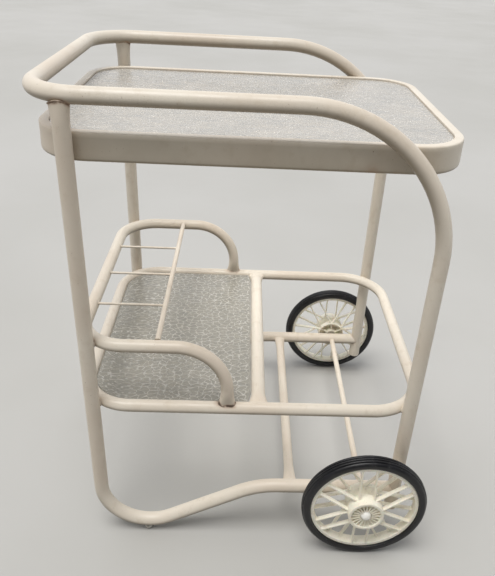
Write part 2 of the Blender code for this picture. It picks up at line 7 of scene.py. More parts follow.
from collections import namedtuple
from math import acos, asin, atan, ceil, cos, exp, pi, radians, sin, tan

import bmesh
import bpy
import numpy as np
from mathutils import Matrix, Vector, noise


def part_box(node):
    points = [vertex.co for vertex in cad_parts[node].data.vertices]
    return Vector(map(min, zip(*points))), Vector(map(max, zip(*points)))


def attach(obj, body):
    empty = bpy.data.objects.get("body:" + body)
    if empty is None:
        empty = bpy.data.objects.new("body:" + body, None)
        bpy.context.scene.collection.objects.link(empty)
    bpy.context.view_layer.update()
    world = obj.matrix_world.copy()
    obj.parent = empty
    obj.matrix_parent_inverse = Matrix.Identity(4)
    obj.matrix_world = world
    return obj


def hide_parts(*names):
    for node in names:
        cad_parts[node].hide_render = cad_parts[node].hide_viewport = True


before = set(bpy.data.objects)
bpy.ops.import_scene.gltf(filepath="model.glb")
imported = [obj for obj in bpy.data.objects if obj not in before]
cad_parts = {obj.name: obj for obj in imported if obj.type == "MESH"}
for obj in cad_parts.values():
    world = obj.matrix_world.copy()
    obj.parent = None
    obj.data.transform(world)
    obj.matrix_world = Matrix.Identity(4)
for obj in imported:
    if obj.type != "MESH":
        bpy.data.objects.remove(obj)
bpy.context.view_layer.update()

# ---- sizes that the CAD shares
MAIN_R = 0.0127
SHELF_R = 0.0111
STAY_R = 0.0095
TUBE_WALL = 0.0014

HANDLE_CORNER_R = 0.0797
RIGHT_LEG_X = 0.2942         # where the right leg's line meets the rail's height
RIGHT_LEG_LEAN = 0.0094      # metres of X for each metre of Z
TOP_BEND_R = 0.2327
LEFT_LEG_X = -0.2730
LEFT_LEG_LEAN = -0.0092
FOOT_BEND_R = 0.0873
RUNNER_SLOPE = 0.5181
KNEE_X = 0.0263
KNEE_R = 0.1574
SHELF_LEFT_CORNER_R = 0.0832
SHELF_RIGHT_CORNER_R = 0.0915
GUARD_FOOT_X = -0.0350
GUARD_CORNER_R = 0.0764
GUARD_BEND_R = 0.0895
LEG_SQUEEZE = (0.042, 1.20, 0.84)   # a tube's squeezed end: its length, width and thickness (shares)
CROSSBAR_SQUEEZE = (0.040, 1.48, 0.55)
STAY_SQUEEZE = (0.055, 1.36, 0.58)
GUARD_SQUEEZE = (0.036, 1.42, 0.62)
TRAY_CORNER_R = 0.0793
TRAY_SHEET = 0.0016
TRAY_RIM = 0.0145
TRAY_LEDGE = 0.0100
TRAY_LIP = 0.0080
PANE_CLIP = ((0, 0.0270), (0.0045, 0.0040), (0.0055, 0))
HUB_R = 0.0325
HUB_WAIST_R = 0.0205
HUB_OUTER_BARREL = 0.0240
HUB_INNER_BARREL = 0.0125
HUB_TAPER = 0.0055
HUB_INNER_STEP = 0.0020
HUB_WALL = 0.0026
HUB_BOSS_R = 0.0132
HUB_DISH_R = 0.0265
HUB_DISH = 0.0060
HUB_BORE_R = 0.0092
BUSH_BORE_R = 0.0064
RIM_IN_Y = 0.2849
RIM_OUT_Y = 0.3038
RIM_R = 0.0996
RIM_BAND_R = 0.0930
RIM_LIP = 0.0030
SPOKE_PAIRS = 6
SPOKE_SPREAD = radians(22)
SPOKE_WIDTH = 0.0028
SPOKE_DEPTH = 0.0085
OUTER_SPOKE_Z = 0.0125
INNER_SPOKE_Z = -0.0195
DISH_RIBS = 20
HUB_WEBS = 6

SIDES = (("near", -1), ("far", 1))
X, Y, Z = np.eye(3)


def centre(node):
    low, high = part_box(node)
    return np.array((low + high) / 2)


SIDE_Y = centre("glide_far")[1]
AXLE_X, _, WHEEL_R = centre("axle")
RAIL_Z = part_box("left_leg_near")[1].z
HANDLE_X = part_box("top_frame")[0].x + MAIN_R
FOOT_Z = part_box("top_frame")[0].z
SHELF_LEFT_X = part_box("shelf_loop")[0].x + SHELF_R
SHELF_RIGHT_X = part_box("shelf_loop")[1].x - SHELF_R
SHELF_Z = centre("shelf_loop")[2]
SHELF_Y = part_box("shelf_loop")[1].y - SHELF_R
CROSSBAR_X = centre("shelf_crossbar")[0]
STAY_X = centre("lower_cross_tube")[0]
TENTH_TURN = cos(pi / 10)          # a ten-sided CAD tube's flat, as a share of its radius
GUARD_LEFT_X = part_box("bottle_guard")[0].x + SHELF_R * TENTH_TURN
GUARD_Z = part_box("bottle_guard")[1].z - SHELF_R
ROD_X, _, ROD_Z = centre("divider_rod")
ROD_R = (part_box("divider_rod")[1].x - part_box("divider_rod")[0].x) / 2

# ---- what only the looks have
RING_STEP = 0.012            # no tube ring is further than this from the next
TURN_STEP = radians(4)
SINK = 0.0006                # a tube's end goes this far into the tube that it meets
WELD = 0.0017                # how far a weld bead reaches along each of the tubes it joins
STAIN_REACH = 0.0038         # rust spreads about this far from a weld
CELL = 0.0100                # one cell of the glass's pattern, across
CELL_STRETCH = 1.50          # and its length along X, as a share of that
RIDGE = 0.00040              # the pattern's height
RIDGE_WIDTH = 0.00062
GLASS_STEP = 0.0011          # the pane's mesh is this fine
TYRE_GROOVES = (-0.0078, -0.0026, 0.0026, 0.0078)
TYRE_GROOVE_DEPTH = 0.0022
TRAY_MARKS = ((-0.171, 0.031, 1.0, 0.0011), (-0.165, 0.031, 0.9, 0.0010),   # x, height, rust, reach
              (0.168, 0.003, 0.50, 0.016), (0.132, 0.002, 0.32, 0.012), (0.205, 0.002, 0.38, 0.010))


# ---- paths
def unit(vectors):
    return vectors / np.linalg.norm(vectors, axis=-1, keepdims=True)


def bent(corners, radii, turn=TURN_STEP):
    """The path through corners, with each inner corner rounded to its radius."""
    corners = [Vector(c) for c in corners]
    path = [corners[0]]
    for before, corner, after, radius in zip(corners, corners[1:], corners[2:], radii):
        inward = (before - corner).normalized()
        outward = (after - corner).normalized()
        bend = pi - inward.angle(outward)
        start = corner + inward * radius * tan(bend / 2)
        middle = corner + (inward + outward).normalized() * radius / cos(bend / 2)
        axis = (-inward).cross(outward).normalized()
        steps = max(2, ceil(bend / turn))
        for i in range(steps + 1):
            path.append(middle + Matrix.Rotation(bend * i / steps, 3, axis) @ (start - middle))
    path.append(corners[-1])
    return np.array(path)


def spaced(path, step=RING_STEP):
    """The path with extra points, so that no stretch is longer than step."""
    points = [path[0]]
    for a, b in zip(path, path[1:]):
        count = max(1, ceil(np.linalg.norm(b - a) / step))
        points += [a + (b - a) * i / count for i in range(1, count + 1)]
    return np.array(points)


def rounded_rectangle(x_low, x_high, half_y, z, low_r, high_r):
    """A closed outline, starting at the middle of the high-X side, anticlockwise from above."""
    corners = [(x_high, 0, z), (x_high, half_y, z), (x_low, half_y, z),
               (x_low, -half_y, z), (x_high, -half_y, z), (x_high, 0, z)]
    return bent(corners, [high_r, low_r, low_r, high_r])


def right_leg_x(z):
    return RIGHT_LEG_X + RIGHT_LEG_LEAN * (z - RAIL_Z)


def left_leg_x(z):
    return LEFT_LEG_X + LEFT_LEG_LEAN * (z - RAIL_Z)


def mirrored(y, near, radii):
    """The path that runs through the near (x, z) corners at -y, and back through them at y."""
    corners = [(x, -y, z) for x, z in near] + [(x, y, z) for x, z in near[::-1]]
    return bent(corners, radii + radii[::-1])


def top_frame_path():
    return mirrored(SIDE_Y, [(right_leg_x(FOOT_Z), FOOT_Z), (RIGHT_LEG_X, RAIL_Z), (HANDLE_X, RAIL_Z)],
                    [TOP_BEND_R, HANDLE_CORNER_R])


def left_leg_path(y):
    """Down the left leg, round the foot, up the runner and along the lower rail."""
    toe_x = left_leg_x(WHEEL_R - RUNNER_SLOPE * KNEE_X) / (1 - LEFT_LEG_LEAN * RUNNER_SLOPE)
    toe_z = WHEEL_R + RUNNER_SLOPE * (toe_x - KNEE_X)
    corners = [(LEFT_LEG_X, y, RAIL_Z), (toe_x, y, toe_z), (KNEE_X, y, WHEEL_R),
               (right_leg_x(WHEEL_R), y, WHEEL_R)]
    return bent(corners, [FOOT_BEND_R, KNEE_R])


def guard_path():
    corners = [(GUARD_FOOT_X, SHELF_Z), (GUARD_FOOT_X, GUARD_Z), (GUARD_LEFT_X, GUARD_Z)]
    return mirrored(SHELF_Y, corners, [GUARD_BEND_R, GUARD_CORNER_R])


# ---- meshes as points and faces
def joined(*solids):
    """Several (points, faces) solids as one."""
    points, faces, total = [], [], 0
    for solid_points, solid_faces in solids:
        points.append(solid_points)
        faces += [[i + total for i in face] for face in solid_faces]
        total += len(solid_points)
    return np.concatenate(points), faces


def turns(count):
    """The angles of count points round a circle."""
    return np.linspace(0, 2 * pi, count, endpoint=False)


def skin(rings, closed=False):
    """The surface through rings of points, each ring closed, with a fan over each open end."""
    count, sides = rings.shape[:2]
    points = rings.reshape(-1, 3)
    across = np.arange(sides)
    after = (across + 1) % sides
    faces = []
    for i in range(count if closed else count - 1):
        low, high = i * sides, (i + 1) % count * sides
        faces += np.stack([low + across, low + after, high + after, high + across], 1).tolist()
    if not closed:
        for ring, first in ((rings[0], 0), (rings[-1], (count - 1) * sides)):
            hub = len(points)
            points = np.concatenate([points, ring.mean(0)[None]])
            faces += np.stack([first + across, first + after, np.full(sides, hub)], 1).tolist()
    return points, faces


def placed(solid, matrix):
    points, faces = solid
    matrix = np.array(matrix)
    return points @ matrix[:3, :3].T + matrix[:3, 3], faces


def directions(path, closed, reference):
    """Tangent, side and up at each point of a path, with no twist from one point to the next."""
    ahead = np.roll(path, -1, 0) - path
    behind = path - np.roll(path, 1, 0)
    if not closed:
        ahead[-1] = behind[-1]
        behind[0] = ahead[0]
    tangent = unit(unit(ahead) + unit(behind))
    side = np.empty_like(path)
    last = np.array(reference, float)
    for i, along in enumerate(tangent):
        last = unit(last - along * (last @ along))
        side[i] = last
    return tangent, side, np.cross(tangent, side)


# How a tube's end meets another tube, of that axis and radius, and how rusty and big the weld is.
Joint = namedtuple("Joint", "axis radius length widen thin rust weld",
                   defaults=(0.02, 1.0, 1.0, 0.2, 1.0))


def saddle(joint, end, along, offsets, count=10):
    """Rings from where a tube's end meets another tube, out to joint.length from its middle.

    The end is squeezed oval, wider along the tube that it meets and thinner across it.
    """
    wide = unit(joint.axis - along * (joint.axis @ along))
    across = np.cross(along, wide)
    on_wide, on_across = offsets @ wide, offsets @ across

    def squeezed(height):
        t = 1 - np.clip(height / joint.length, 0, 1)
        ease = t * t * (3 - 2 * t)
        return (np.outer(on_wide * (1 + (joint.widen - 1) * ease), wide)
                + np.outer(on_across * (1 + (joint.thin - 1) * ease), across))

    foot = np.full(len(offsets), joint.radius)
    for _ in range(4):
        lateral = squeezed(foot) @ across
        foot = np.sqrt(np.maximum(joint.radius ** 2 - lateral ** 2, 0))
    rings = []
    for k in range(count + 1):
        height = foot - SINK + (joint.length - foot + SINK) * (k / count) ** 1.4
        rings.append(end + np.outer(height, along) + squeezed(height))
    seam = end + np.outer(foot, along) + squeezed(foot)
    outward = unit(np.outer(on_wide / joint.widen, wide) + np.outer(on_across / joint.thin, across))
    return rings, bead(seam, outward, along, end, joint)


def bead(seam, outward, along, middle, joint):
    """The weld round a tube's end, lying in the corner between it and the tube that it meets."""
    from_axis = seam - middle
    from_axis = unit(from_axis - np.outer(from_axis @ joint.axis, joint.axis))
    away = outward - from_axis * (outward * from_axis).sum(1, keepdims=True)
    room = np.clip(np.linalg.norm(away, axis=1) / 0.6, 0.05, 1)
    away = unit(away)
    run = np.concatenate([[0], np.cumsum(np.linalg.norm(np.diff(seam, axis=0), axis=1))])
    ripple = 1 + 0.03 * np.sin(run * 2 * pi / 0.0031)
    reach = (WELD * joint.weld * min(1, joint.radius / SHELF_R) * room * ripple)[:, None]
    up_tube = seam + along * reach
    out_tube = seam + away * reach - from_axis * reach ** 2 / (2 * joint.radius)
    fill = seam + (outward + from_axis) * reach * 0.20
    section = [up_tube - outward * SINK * 0.8, up_tube]
    for t in (0.25, 0.5, 0.75):
        section.append((1 - t) ** 2 * up_tube + 2 * t * (1 - t) * fill + t * t * out_tube)
    section += [out_tube, out_tube - from_axis * SINK * 0.8, seam - (outward + from_axis) * SINK * 0.6]
    return np.stack(section, 1)


WELDS = []                   # each weld's rings and its rust, gathered while the tubes are made


def tube(path, radius, sides=36, closed=False, joints=(None, None), reference=X, open_ends=False):
    """A tube's skin along path. A joint saddles that end to the tube it meets."""
    path = np.array(path)
    ends = []
    for joint, index, inner in ((joints[0], 0, 1), (joints[1], -1, -2)):
        end, along = path[index].copy(), unit(path[inner] - path[index])
        ends.append((joint, index, end, along))
        if joint:
            path[index] = end + along * joint.length
    path = spaced(path) if not closed else spaced(np.concatenate([path, path[:1]]))[:-1]
    tangent, side, up = directions(path, closed, reference)
    angles = turns(sides)[None, :, None]
    circle = radius * (np.cos(angles) * side[:, None] + np.sin(angles) * up[:, None])
    rings = list(path[:, None] + circle)
    for joint, index, end, along in ends:
        if not joint:
            continue
        shaped, weld = saddle(joint, end, along, circle[index])
        WELDS.append((weld, joint.rust))
        rings = shaped[:-1] + rings if index == 0 else rings + shaped[:-1][::-1]
    if open_ends:
        rings = hollow_end(path[0], -tangent[0], circle[0], radius)[::-1] + rings
        rings += hollow_end(path[-1], tangent[-1], circle[-1], radius)
    return skin(np.array(rings), closed=closed)


def hollow_end(end, outward, circle, radius, depth=0.021, bevel=0.0003):
    """Rings that round a tube's cut edge and go back inside it."""
    bore = 1 - TUBE_WALL / radius
    steps = ((1, -bevel), (1 - bevel / radius, 0), (bore, 0), (bore, -depth))
    return [end + circle * share + outward * height for share, height in steps]


def rounded_profile(corners, radii, turn=radians(18)):
    """A closed outline in (radius, height), its corners rounded to one radius or to one each."""
    count = len(corners)
    points = []
    for i, radius in enumerate(np.broadcast_to(radii, count)):
        before, corner, after = (np.array(corners[(i + k) % count], float) for k in (-1, 0, 1))
        room = 0.48 * min(np.linalg.norm(before - corner), np.linalg.norm(after - corner))
        bend = pi - acos(np.clip(unit(before - corner) @ unit(after - corner), -1, 1))
        radius = min(radius, room / tan(bend / 2))
        flat = [(*p, 0) for p in (before, corner, after)]
        points += list(bent(flat, [radius], turn)[1:-1, :2])
    return points


def turned(profile, steps, closed=True):
    """The profile's (radius, height) points turned round Z. An open one is closed at the axis."""
    angles = turns(steps)
    radius, height = np.array(profile).T
    rings = np.stack([np.outer(radius, np.cos(angles)), np.outer(radius, np.sin(angles)),
                      np.repeat(height[:, None], steps, 1)], -1)
    return skin(rings, closed=closed)


def sleeve(bore, outer, low, high, soft):
    """A short tube round Z, with its edges rounded."""
    corners = [(bore, high), (outer, high), (outer, low), (bore, low)]
    return turned(rounded_profile(corners, soft), 48)


def facing(sign, middle):
    """The place of a wheel's or axle's piece, whose own Z points out of the cart at that side."""
    return Matrix.Translation(middle) @ Matrix.Rotation(-sign * pi / 2, 4, "X")


# ---- materials
class Graph:
    """The node tree of a material or a world, with short ways to add to it."""

    def __init__(self, owner, shader="Principled BSDF"):
        owner.use_nodes = True
        self.tree = owner.node_tree
        self.shader = self.tree.nodes[shader]
        self.place = self.add("TexCoord", "Object")

    def add(self, kind, output, inputs=None, **settings):
        """A new node's output. Each input is joined to another output or set to a value."""
        node = self.tree.nodes.new("ShaderNode" + kind)
        for key, value in settings.items():
            setattr(node, key, value)
        for key, value in (inputs or {}).items():
            self.feed(node.inputs[key], value)
        return node.outputs[output]

    def feed(self, socket, value):
        if isinstance(value, bpy.types.NodeSocket):
            self.tree.links.new(value, socket)
        else:
            socket.default_value = value

    def set(self, **values):
        """The shader's own inputs."""
        for key, value in values.items():
            self.feed(self.shader.inputs[key.replace("_", " ")], value)

    def stretched(self, x, y, z):
        return self.add("Mapping", "Vector", {"Scale": (x, y, z), "Vector": self.place})

    def noise(self, scale, detail=2.0, roughness=0.5, distortion=0.0, place=None):
        return self.add("TexNoise", "Fac", {
            "Vector": place or self.place, "Scale": scale, "Detail": detail,
            "Roughness": roughness, "Distortion": distortion})

    def remap(self, value, low, high, to_low=0.0, to_high=1.0, curve="SMOOTHSTEP"):
        return self.add("MapRange", "Result", {
            "Value": value, "From Min": low, "From Max": high, "To Min": to_low, "To Max": to_high},
            interpolation_type=curve)

    def maths(self, operation, a, b):
        return self.add("Math", 0, {0: a, 1: b}, operation=operation)

    def mix(self, share, a, b):
        """A mix of two colours. They are the node's sockets 6 and 7, and the result is its third."""
        return self.add("Mix", 2, {"Factor": share, 6: a, 7: b}, data_type="RGBA")

    def coat(self, share, colour, over=None):
        """A share of a colour, over the last coat's colour or over another."""
        self.colour = self.mix(share, over or self.colour, colour)

    def attribute(self, name):
        return self.add("Attribute", "Fac", attribute_name=name)

    def facing_up(self):
        """How far the surface faces up: 1 for a floor, -1 for a ceiling."""
        return self.add("SeparateXYZ", "Z", {0: self.add("NewGeometry", "Normal")})

    def bump(self, *heights):
        """Bumps from pairs of a height, from 0 to 1, and its size in metres."""
        inputs = {}
        for height, size in heights:
            inputs = {**inputs, "Distance": size, "Height": height}
            inputs = {"Normal": self.add("Bump", "Normal", inputs)}
        self.set(**inputs)


def rgb(red, green, blue):
    """An sRGB colour, 0 to 255, as the linear one that a shader takes."""
    return (*(c / 255 / 12.92 if c <= 10 else ((c / 255 + 0.055) / 1.055) ** 2.4
              for c in (red, green, blue)), 1)


def cream_powder_coat(g):
    """Powder coat over steel: faint mottling, dirt streaks and specks, painted shade, and rust creeping
    from the welds.
    """
    g.coat(g.remap(g.noise(5, 3), 0.35, 0.68), rgb(226, 213, 196), over=rgb(234, 225, 210))
    g.coat(g.remap(g.noise(48, 4, 0.6), 0.52, 0.75, 0, 0.30), rgb(203, 186, 162))
    streaks = g.noise(30, 5, 0.6, place=g.stretched(1, 1, 0.22))
    g.coat(g.remap(streaks, 0.60, 0.80, 0, 0.28), rgb(178, 160, 134))
    # Painted shade: faces turned sideways and down are darkened, most where they face the floor.
    under = g.remap(g.facing_up(), 0.22, -0.60, 0, 0.86)
    g.coat(under, rgb(120, 107, 88))
    # Painted shade on the tray's long walls, read from the band's point values.
    uneven = g.remap(g.noise(9, 4, 0.6), 0.35, 0.65, 0.8, 1.0)
    dirt_film_and_painted_shade = g.maths("MULTIPLY", g.attribute("dirt_film_and_painted_shade"), uneven)
    g.coat(dirt_film_and_painted_shade, rgb(124, 113, 90))
    specks = g.remap(g.noise(310, 2, 0.4), 0.73, 0.77, 0, 0.35)
    g.coat(specks, rgb(112, 90, 66))
    chips = g.remap(g.noise(95, 3, 0.45), 0.790, 0.805)
    g.coat(chips, rgb(84, 58, 40))
    uneven = g.remap(g.noise(150, 4, 0.6), 0.30, 0.62, 0.75, 1.0)
    stain = g.maths("MULTIPLY", g.attribute("stain"), uneven)
    g.coat(g.remap(stain, 0.05, 0.70, 0, 0.55), rgb(150, 112, 80))
    g.coat(g.remap(stain, 0.45, 0.90, 0, 0.9), rgb(60, 42, 31))
    rough = g.remap(g.noise(26, 4), 0.3, 0.7, 0.32, 0.46)
    rough = g.maths("ADD", rough, g.maths("MULTIPLY", stain, 0.3))
    g.set(Base_Color=g.colour, Roughness=rough)
    g.bump((g.noise(950, 2), 0.00005), (g.noise(190, 2), 0.00010), (chips, -0.0002))


def cream_plastic(g):
    """Moulded plastic, a little yellower than the paint, with dirt in patches."""
    g.coat(g.remap(g.noise(14, 3), 0.35, 0.7), rgb(245, 239, 221), over=rgb(252, 248, 234))
    dirt = g.remap(g.noise(70, 5, 0.65), 0.46, 0.78, 0, 0.30)
    g.coat(dirt, rgb(160, 147, 120))
    specks = g.remap(g.noise(420, 2, 0.4), 0.71, 0.76, 0, 0.5)
    g.coat(specks, rgb(96, 82, 62))
    g.set(Base_Color=g.colour, Roughness=g.remap(g.noise(40, 3), 0.3, 0.7, 0.32, 0.50),
          Subsurface_Weight=0.05, Subsurface_Scale=0.004)
    g.bump((g.noise(700, 2), 0.00004), (g.noise(120, 3), 0.00010))


def black_rubber(g):
    """Tyre rubber, bluish black, with dust in patches that is thickest on the tread."""
    g.coat(g.remap(g.noise(30, 4), 0.4, 0.7), rgb(24, 24, 30), over=rgb(12, 12, 16))
    dust = g.remap(g.noise(85, 6, 0.7), 0.50, 0.80, 0, 0.30)
    dust = g.maths("MULTIPLY", dust, g.remap(g.facing_up(), -0.2, 0.9, 0.25, 1.0))
    g.coat(dust, rgb(104, 102, 102))
    specks = g.remap(g.noise(520, 2, 0.4), 0.71, 0.77, 0, 0.6)
    g.coat(specks, rgb(140, 136, 130))
    g.set(Base_Color=g.colour, Roughness=g.remap(g.noise(60, 3), 0.3, 0.7, 0.28, 0.44))
    g.bump((g.noise(900, 3), 0.00005), (g.noise(210, 4), 0.00010))


def obscure_glass(g):
    """Patterned glass: the ridges between its cells are paler and duller than the cells."""
    broken = g.noise(120, 3, 0.6, 0.5, place=g.stretched(0.6, 1.4, 1))
    ridge = g.maths("MULTIPLY", g.attribute("ridge"), g.remap(broken, 0.34, 0.58, 0.55, 1.0))
    # Painted shade: a value on each pane's points darkens the lower pane and greys its strokes and
    # lines.
    painted_pane_shade = g.attribute("painted_pane_shade")
    g.coat(g.remap(g.noise(9, 3), 0.35, 0.7), rgb(208, 203, 195), over=rgb(198, 194, 187))
    g.coat(painted_pane_shade, rgb(164, 161, 150))
    flow = g.noise(90, 5, 0.65, 1.0, place=g.stretched(0.35, 1.3, 1))
    strokes = g.mix(painted_pane_shade, rgb(158, 163, 168), rgb(136, 135, 128))
    g.coat(g.remap(flow, 0.44, 0.64, 0, 0.40), strokes)
    dirt_film_and_painted_shade = g.remap(g.noise(24, 5, 0.65), 0.45, 0.78, 0, 0.20)
    g.coat(dirt_film_and_painted_shade, rgb(172, 163, 150))
    lines = g.mix(painted_pane_shade, rgb(226, 224, 219), rgb(222, 219, 213))
    g.coat(g.remap(ridge, 0.10, 0.9, 0, 0.80), lines)
    g.set(Base_Color=g.colour, Roughness=g.remap(ridge, 0.0, 1.0, 0.26, 0.38), IOR=1.5,
          Transmission_Weight=g.remap(ridge, 0.1, 0.95, 0.34, 0.22))
    g.bump((g.noise(420, 3), 0.00006), (flow, 0.00022))


def clear_vinyl(g):
    g.coat(g.noise(160, 3), rgb(182, 176, 158), over=rgb(214, 212, 200))
    g.set(Base_Color=g.colour, Roughness=g.remap(g.noise(300, 2), 0.3, 0.7, 0.18, 0.34), IOR=1.46,
          Transmission_Weight=0.6)
    g.bump((g.noise(500, 2), 0.00004))


def white_nylon(g):
    g.coat(g.remap(g.noise(120, 4), 0.4, 0.75), rgb(228, 221, 205), over=rgb(252, 250, 245))
    g.set(Base_Color=g.colour, Roughness=g.remap(g.noise(220, 3), 0.3, 0.7, 0.22, 0.38),
          Specular_IOR_Level=0.55)
    g.bump((g.noise(800, 2), 0.00003))


def plated_steel(g):
    """Zinc plate, dulled in patches, with brushed lines round it."""
    g.coat(g.remap(g.noise(90, 4), 0.4, 0.7), rgb(150, 144, 134), over=rgb(196, 195, 190))
    rust = g.remap(g.noise(140, 5, 0.7), 0.60, 0.72, 0, 0.8)
    g.coat(rust, rgb(110, 76, 50))
    g.set(Base_Color=g.colour, Metallic=g.remap(rust, 0, 0.8, 1.0, 0.1),
          Roughness=g.remap(g.noise(180, 3), 0.3, 0.7, 0.24, 0.45))
    g.bump((g.noise(600, 2, place=g.stretched(1, 4, 1)), 0.00004))


def new_material(name):
    material = bpy.data.materials.new(name)
    return material, Graph(material)


MATERIALS = {}
for RECIPE in (cream_powder_coat, cream_plastic, black_rubber, obscure_glass, clear_vinyl,
               white_nylon, plated_steel):
    MATERIALS[RECIPE.__name__], GRAPH = new_material(RECIPE.__name__)
    RECIPE(GRAPH)


# ---- pieces
def new_object(name, data):
    obj = bpy.data.objects.new(name, data)
    bpy.context.scene.collection.objects.link(obj)
    return obj


def piece(name, solid, slot="cream_powder_coat", body="frame", replaces=None, sharp=40):
    """A solid as a visible piece that rides on a body and stands for its CAD node."""
    points, faces = solid
    mesh = bpy.data.meshes.new(name)
    mesh.from_pydata(points.tolist(), [], faces)
    bm = bmesh.new()
    bm.from_mesh(mesh)
    bmesh.ops.remove_doubles(bm, verts=bm.verts, dist=1e-6)     # a ring on the axis is one point
    bmesh.ops.recalc_face_normals(bm, faces=bm.faces)
    bm.to_mesh(mesh)
    bm.free()
    mesh.shade_smooth()
    mesh.set_sharp_from_angle(angle=radians(sharp))
    mesh.materials.append(MATERIALS[slot])
    obj = new_object(name, mesh)
    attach(obj, body)
    if replaces:
        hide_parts(replaces)
    return obj


def point_values(obj, name, values):
    """Numbers for each of a mesh's points, which its material reads by name."""
    attribute = obj.data.attributes.new(name, "FLOAT", "POINT")
    attribute.data.foreach_set("value", np.asarray(values, np.float32))


def mesh_points(obj):
    points = np.empty(len(obj.data.vertices) * 3, np.float32)
    obj.data.vertices.foreach_get("co", points)
    return points.reshape(-1, 3).astype(float)


# ---- the welded frame
def build_tubes():
    """The handle and legs, the lower rails, the shelf loop with its crossbar, and the bottle guard."""
    def add(node, solid):
        made.append(piece(node + "_tube", solid, replaces=node))

    made = []
    add("top_frame", tube(top_frame_path(), MAIN_R, open_ends=True))
    leg_axis = unit(np.array([RIGHT_LEG_LEAN, 0, 1]))
    for side, sign in SIDES:
        top = Joint(X, MAIN_R, *LEG_SQUEEZE, rust=0.80)
        tail = Joint(leg_axis, MAIN_R, rust=0.45)
        add("left_leg_" + side, tube(left_leg_path(sign * SIDE_Y), MAIN_R, joints=(top, tail)))
    loop = rounded_rectangle(SHELF_LEFT_X, SHELF_RIGHT_X, SHELF_Y, SHELF_Z,
                             SHELF_LEFT_CORNER_R, SHELF_RIGHT_CORNER_R)[:-1]
    add("shelf_loop", tube(loop, SHELF_R, closed=True, reference=Z))
    bar = Joint(X, SHELF_R, *CROSSBAR_SQUEEZE, rust=0.12)
    path = [(CROSSBAR_X, -SHELF_Y, SHELF_Z), (CROSSBAR_X, SHELF_Y, SHELF_Z)]
    add("shelf_crossbar", tube(path, MAIN_R, joints=(bar, bar)))
    stay = Joint(X, MAIN_R, *STAY_SQUEEZE, rust=0.15)
    path = [(STAY_X, -SIDE_Y, WHEEL_R), (STAY_X, SIDE_Y, WHEEL_R)]
    add("lower_cross_tube", tube(path, STAY_R, joints=(stay, stay)))
    near = Joint(X, SHELF_R, *GUARD_SQUEEZE, rust=1.0, weld=1.25)
    add("bottle_guard", tube(guard_path(), SHELF_R, joints=(near, near._replace(rust=0.55))))
    return made


def build_divider():
    """The rod across the bottle guard, and the wires from it to the guard's end."""
    butt = Joint(X, SHELF_R, 0.014, rust=0.15)
    path = [(ROD_X, -SHELF_Y, ROD_Z), (ROD_X, SHELF_Y, ROD_Z)]
    made = [piece("divider_rod_bar", tube(path, ROD_R, sides=24, joints=(butt, butt)),
                  replaces="divider_rod")]
    for i in range(1, 4):
        node = "divider_wire_%d" % i
        low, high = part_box(node)
        y, radius = (low.y + high.y) / 2, (high.y - low.y) / 2
        path = [(GUARD_LEFT_X, y, ROD_Z), (ROD_X, y, ROD_Z)]
        joints = (Joint(Y, SHELF_R, 0.014, rust=0.12), Joint(Y, ROD_R, 0.008, rust=0.10))
        solid = tube(path, radius, sides=16, joints=joints, reference=Y)
        made.append(piece(node + "_bar", solid, replaces=node))
    return made


def crevice(contact, toward, axes, radii, reach=0.0075, gap=0.0):
    """Weld metal between two crossing tubes that touch at contact: a disc filling their crevice."""
    toward = unit(np.array(toward, float))
    first = unit(axes[0] - toward * (axes[0] @ toward))
    second = np.cross(toward, first)
    angles = turns(24)
    rays = np.outer(np.cos(angles), first) + np.outer(np.sin(angles), second)
    wobble = 1 + 0.05 * np.sin(3 * angles + contact[0] * 90)
    shares = (0.05, 0.35, 0.7, 0.96)
    steps = [(0, share) for share in shares] + [(None, 1.06)] + [(1, share) for share in shares[::-1]]
    rings = []
    for face, share in steps:
        flat = rays * (reach * share * wobble)[:, None]
        heights = []
        for k, (axis, radius) in enumerate(zip(axes, radii)):
            off_axis = np.linalg.norm(flat - np.outer(flat @ axis, axis), axis=1)
            drop = radius - np.sqrt(np.maximum(radius ** 2 - off_axis ** 2, 0)) + gap / 2 + SINK
            heights.append(drop if k else -drop)
        height = (heights[0] + heights[1]) / 2 if face is None else heights[face]
        rings.append(contact + flat + np.outer(height, toward))
    return skin(np.array(rings))


def corner_contacts():
    """Where the shelf loop and the guard touch the legs: point, direction, axes and radii."""
    found = []
    corners = ((SHELF_Z, SHELF_LEFT_X, 1, SHELF_LEFT_CORNER_R, left_leg_x, LEFT_LEG_LEAN),
               (SHELF_Z, SHELF_RIGHT_X, -1, SHELF_RIGHT_CORNER_R, right_leg_x, RIGHT_LEG_LEAN),
               (GUARD_Z, GUARD_LEFT_X, 1, GUARD_CORNER_R, left_leg_x, LEFT_LEG_LEAN))
    for z, end_x, inward, radius, leg_x, lean in corners:
        for _, sign in SIDES:
            leg = np.array([leg_x(z), sign * SIDE_Y, z])
            middle = np.array([end_x + inward * radius, sign * (SHELF_Y - radius), z])
            toward = unit(middle - leg)
            across = np.cross(Z, toward)
            axes = (unit(np.array([lean, 0, 1])), across)
            found.append((leg + toward * (MAIN_R + 0.0001), toward, axes, (MAIN_R, SHELF_R)))
    return found


